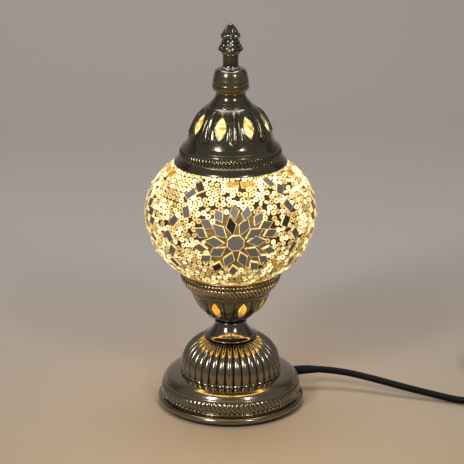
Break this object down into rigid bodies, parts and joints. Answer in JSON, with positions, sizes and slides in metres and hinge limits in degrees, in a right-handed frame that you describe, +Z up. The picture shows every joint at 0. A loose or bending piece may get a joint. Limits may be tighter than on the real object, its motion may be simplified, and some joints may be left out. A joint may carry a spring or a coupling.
{
  "type": "mosaic glass table lamp",
  "caption": "Table lamp with a fluted metal foot, a mosaic glass globe in a pierced cup, and a pierced cap with a finial, on a round cord with a rocker switch and plug.",
  "frame": {"origin": "middle of the lamp's underside, on the table", "axes": "+Z up the lamp's axis, -Y the front star, +X towards the side where the cord leaves"},
  "size_m": [0.3431, 0.1504, 0.2895],
  "materials": {
    "pad_black": "soft black foam rubber, matt",
    "antique_metal": "spun sheet brass, antique bronze plating, glossy lacquer",
    "dark_metal": "turned brass, dark bronze plating, glossy lacquer",
    "plated_steel": "zinc-plated, satin",
    "brass_parts": "plain brass, turned",
    "gasket_rubber": "black rubber ring",
    "holder_plastic": "black heat-proof moulding",
    "holder_ceramic": "white glazed ceramic",
    "bulb_metal": "nickel-plated screw cap",
    "bulb_black": "black glass insulator",
    "bulb_clear": "thin clear warm-tinted glass",
    "bulb_stem_glass": "pressed glass stem",
    "filament_glow": "lit warm filament sticks",
    "amber_glass": "blown glass, warm",
    "grout": "pale mosaic grout, translucent when lit",
    "seed_beads": "opaque cream glass seed beads, lit from inside",
    "mirror_tile": "silver mirror tile with gold ground edge",
    "amber_tile": "amber glass tile, lit from inside",
    "flex_rubber": "smooth black round flex",
    "switch_plastic": "black inline switch, fine texture",
    "rocker_plastic": "black rocker, polished",
    "plug_plastic": "black moulded plug",
    "pin_metal": "nickel-plated brass pins"
  },
  "bodies": {
    "base": {"base_pad": "pad_black", "base_plate": "plated_steel", "plate_screws": "plated_steel", "foot": "antique_metal", "foot_rope": "antique_metal", "fluted_dome": "antique_metal", "collar": "dark_metal", "cup": "antique_metal", "cup_rope": "antique_metal", "stem_rod": "plated_steel", "foot_washer": "plated_steel", "foot_nut": "brass_parts", "cup_washer": "plated_steel", "cup_nut": "brass_parts", "gallery_ring": "brass_parts", "gasket": "gasket_rubber", "holder_base": "holder_plastic", "holder_sleeve": "holder_plastic", "holder_core": "holder_ceramic", "holder_shell": "brass_parts", "holder_contact": "brass_parts", "strain_relief": "flex_rubber", "inner_cord": "flex_rubber", "flex_lead": "flex_rubber", "flex_tail": "flex_rubber", "flex_coil": "flex_rubber", "flex_end": "flex_rubber", "switch_base": "switch_plastic", "switch_cover": "switch_plastic", "switch_screws": "plated_steel", "plug_body": "plug_plastic", "plug_pins": "pin_metal"},
    "globe": {"globe_glass": "amber_glass", "grout_bed": "grout", "bead_layer": "seed_beads", "star_centres": "mirror_tile", "inner_rhombs": "mirror_tile", "outer_rhombs": "mirror_tile", "line_tiles": "mirror_tile", "border_tiles": "amber_tile"},
    "cap": {"cap_dome": "antique_metal", "cap_rope": "antique_metal", "cap_nut": "brass_parts", "cap_rod": "plated_steel", "ferrule": "antique_metal", "post_washer": "plated_steel", "post": "dark_metal", "finial": "dark_metal"},
    "bulb": {"bulb_contact": "bulb_metal", "bulb_insulator": "bulb_black", "bulb_cap": "bulb_metal", "bulb_glass": "bulb_clear", "bulb_stem": "bulb_stem_glass", "filaments": "filament_glow"},
    "rocker": {"rocker": "rocker_plastic"}
  },
  "joints": [
    {"name": "globe_lift", "type": "slide", "parent": "base", "child": "globe", "axis": [0, 0, 1], "range_m": [0, 0.08]},
    {"name": "cap_lift", "type": "slide", "parent": "globe", "child": "cap", "axis": [0, 0, 1], "range_m": [0, 0.06]},
    {"name": "bulb_out", "type": "slide", "parent": "base", "child": "bulb", "axis": [0, 0, 1], "range_m": [0, 0.022]},
    {"name": "switch_rock", "type": "hinge", "parent": "base", "child": "rocker", "pos_m": [0.218, -0.027, 0.014], "axis": [0, 1, 0], "range_deg": [-14, 0]}
  ]
}
